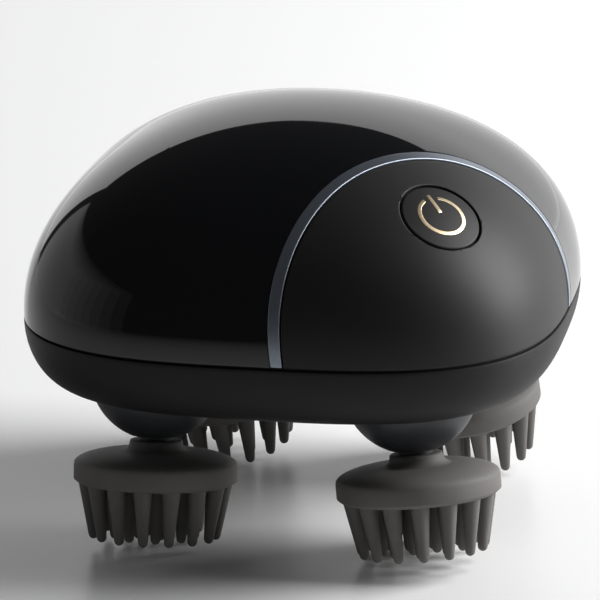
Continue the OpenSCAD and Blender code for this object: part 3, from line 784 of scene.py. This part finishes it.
frame_plastic = Finish("frame_plastic", {"IOR": 1.5})
flow = frame_plastic.grain(220, 4, (1, 0.35, 1))
pit = frame_plastic.grain(3200, 2)
frame_plastic.give("Base Color", frame_plastic.blend(flow, (0.014, 0.014, 0.015), (0.026, 0.026, 0.028)))
frame_plastic.give("Roughness", 0.48 + flow * 0.12 + pit * 0.06)
frame_plastic.relief(pit, 0.000012)
redress(["chassis", "gear_cover", "battery_holder", "switch_bracket", "tact_switch", "board_parts"],
        frame_plastic)

# ---- Gears and plunger ----
# The central gear, the four head gears and the switch plunger are moulded in white acetal, with a
# waxy surface. Grease has darkened the gears a little in patches.

acetal = Finish("acetal_white", {"IOR": 1.48})
wax = acetal.grain(150, 3)
grease = acetal.above(acetal.grain(320, 4), 0.52, 0.72)
clean_acetal = acetal.blend(wax, (0.62, 0.61, 0.56), (0.70, 0.69, 0.64))
acetal.give("Base Color", acetal.blend(grease * 0.4, clean_acetal, (0.40, 0.37, 0.28)))
acetal.give("Roughness", 0.42 - grease * 0.16 + wax * 0.06)
acetal.relief(acetal.grain(2500, 2), 0.000006)
redress(["sun_gear", "switch_plunger"] + ["head_gear_" + head[0] for head in heads], acetal)

# ---- Shafts and bushings ----
# The crank shafts and the motor shaft are ground steel. They run in flanged bushings of sintered
# bronze, pressed into the two plates and soaked in oil.

ground_steel = Finish("ground_steel", {"Metallic": 1.0})
rings_round = ground_steel.grain(1100, 3, (0.4, 0.4, 5))
ground_steel.give("Base Color", ground_steel.blend(rings_round, (0.50, 0.50, 0.51), (0.60, 0.60, 0.61)))
ground_steel.give("Roughness", 0.22 + rings_round * 0.16)
ground_steel.relief(rings_round, 0.000003)
redress(["motor_shaft"] + ["crank_shaft_" + head[0] for head in heads], ground_steel)

bronze = Finish("sintered_bronze", {"Metallic": 0.9})
pores = bronze.grain(5200, 2)
oil = bronze.grain(260, 3)
bronze.give("Base Color", bronze.blend(oil, (0.40, 0.26, 0.11), (0.56, 0.39, 0.18)))
bronze.give("Roughness", 0.36 + pores * 0.2)
bronze.relief(pores, 0.000012)
redress(["centre_bushing"] + [side + "_bushing_" + head[0]
                              for side in ("lower", "upper") for head in heads], bronze)

# ---- Motor, gearbox and screws ----
# The motor is a drawn steel can on a flat reduction gearbox. Both are zinc plated, as are the
# screws and the shell of the charging socket, so they show a faint crystal mottle.

zinc = Finish("zinc_plate", {"Metallic": 0.95})
crystal = zinc.node("ShaderNodeTexVoronoi", {}, {"Vector": zinc.place, "Scale": 420.0}, "Distance")
wipe = zinc.grain(300, 3, (1, 1, 0.2))
zinc.give("Base Color", zinc.blend(crystal, (0.42, 0.43, 0.45), (0.56, 0.57, 0.59)))
zinc.give("Roughness", 0.28 + wipe * 0.14 + crystal * 0.06)
zinc.relief(crystal, 0.000006)
redress(["motor", "gearbox", "case_screws", "gearbox_screws", "charging_port"], zinc)

# ---- Battery cell ----
# The cell is a round lithium cell in a blue shrink sleeve, which is drawn tight along it and
# wrinkles finely at its ends.

sleeve = Finish("shrink_sleeve", {"IOR": 1.5})
pull = sleeve.grain(240, 3, (0.25, 1, 1))
sleeve.give("Base Color", sleeve.blend(pull, (0.022, 0.085, 0.27), (0.035, 0.12, 0.36)))
sleeve.give("Roughness", 0.24 + pull * 0.12)
sleeve.relief(pull, 0.00003)
redress(["battery_cell"], sleeve)

# ---- Circuit boards ----
# The main board, the switch's board and the socket's board are glass-epoxy under green solder
# resist, with copper tracks showing through as slightly paler lines.

resist = Finish("solder_resist", {"IOR": 1.5})
weave = resist.grain(2600, 2)
tracks = resist.node("ShaderNodeTexWave", {"wave_type": "BANDS", "bands_direction": "X"},
                     {"Vector": resist.place, "Scale": 110.0, "Distortion": 3.0, "Detail": 1.0}, "Fac")
track_mask = resist.above(tracks, 0.72, 0.8)
resist.give("Base Color", resist.blend(track_mask, (0.010, 0.070, 0.030), (0.022, 0.125, 0.050)))
resist.give("Roughness", 0.34 + weave * 0.1)
resist.relief(track_mask + weave * 0.15, 0.00002)
redress(["main_board", "switch_board", "port_board"], resist)

# ---- Studio ----
# The part stands on a pale, slightly shiny floor. A wide low screen of light stands behind it, a
# tall soft lamp at its right, and a row of weak ones overlaps and fades out round its left.

bpy.ops.object.select_all(action="DESELECT")
bpy.ops.mesh.primitive_plane_add(size=8, location=(0, 0, 0))
floor = named("floor")
floor_finish = Finish("floor_white", {"IOR": 1.45, "Specular IOR Level": 0.5})
floor_finish.give("Base Color", floor_finish.blend(floor_finish.grain(3, 2), (0.90, 0.90, 0.90),
                                                   (0.92, 0.92, 0.92)))
floor_finish.give("Roughness", 0.3 + floor_finish.grain(500, 2) * 0.05)
floor.data.materials.append(floor_finish.material)


def soft_lamp(name, place, aim, width, height, power):
    """A soft rectangular lamp that faces the point it is aimed at."""
    light = bpy.data.lights.new(name, "AREA")
    light.shape = "RECTANGLE"
    light.size, light.size_y, light.energy = width, height, power
    lamp = bpy.data.objects.new(name, light)
    bpy.context.collection.objects.link(lamp)
    lamp.location = place
    lamp.rotation_mode = "QUATERNION"
    lamp.rotation_quaternion = (Vector(aim) - Vector(place)).to_track_quat("-Z", "Y")


soft_lamp("lamp_behind", (0.05, 0.95, 0.34), (0.05, 0, 0.3), 1.85, 0.68, 4.2)
soft_lamp("lamp_right", (0.966, 0.314, 0.58), (0, 0, 0.05), 0.72, 1.0, 27)
left_start, left_distance, left_glow = 138, 0.95, 0.055
for number in range(12):
    turn_end, height = 160 + 6.5 * number, 0.40 + 0.025 * number
    middle = math.radians((left_start + turn_end) / 2)
    width = 2 * left_distance * math.tan(math.radians((turn_end - left_start) / 2))
    place = (left_distance * math.cos(middle), left_distance * math.sin(middle), height / 2)
    soft_lamp("lamp_left_%d" % number, place, (0, 0, height / 2), width, height,
              left_glow * math.pi * width * height)

world = bpy.data.worlds.new("studio")
world.use_nodes = True
world.node_tree.nodes["Background"].inputs["Color"].default_value = (0.05, 0.05, 0.052, 1)
bpy.context.scene.world = world

view_turn, view_height, view_roll = math.radians(10.817), math.radians(16.756), math.radians(-0.402)
view_distance, aim_height, aim_aside = 0.880, 0.046382, -0.001448
back = Vector((math.sin(view_turn) * math.cos(view_height), -math.cos(view_turn) * math.cos(view_height),
               math.sin(view_height)))
right = Vector((math.cos(view_turn), math.sin(view_turn), 0))
camera_data = bpy.data.cameras.new("camera")
camera_data.sensor_width = 36
camera_data.lens = 245.44
camera_data.clip_start, camera_data.clip_end = 0.05, 30
camera = bpy.data.objects.new("camera", camera_data)
bpy.context.collection.objects.link(camera)
camera.location = right * aim_aside + Vector((0, 0, aim_height)) + back * view_distance
camera.rotation_mode = "QUATERNION"
level = (-back).to_track_quat("-Z", "Y")
camera.rotation_quaternion = level @ Matrix.Rotation(view_roll, 3, "Z").to_quaternion()
bpy.context.scene.camera = camera
bpy.context.scene.view_settings.view_transform = "Standard"
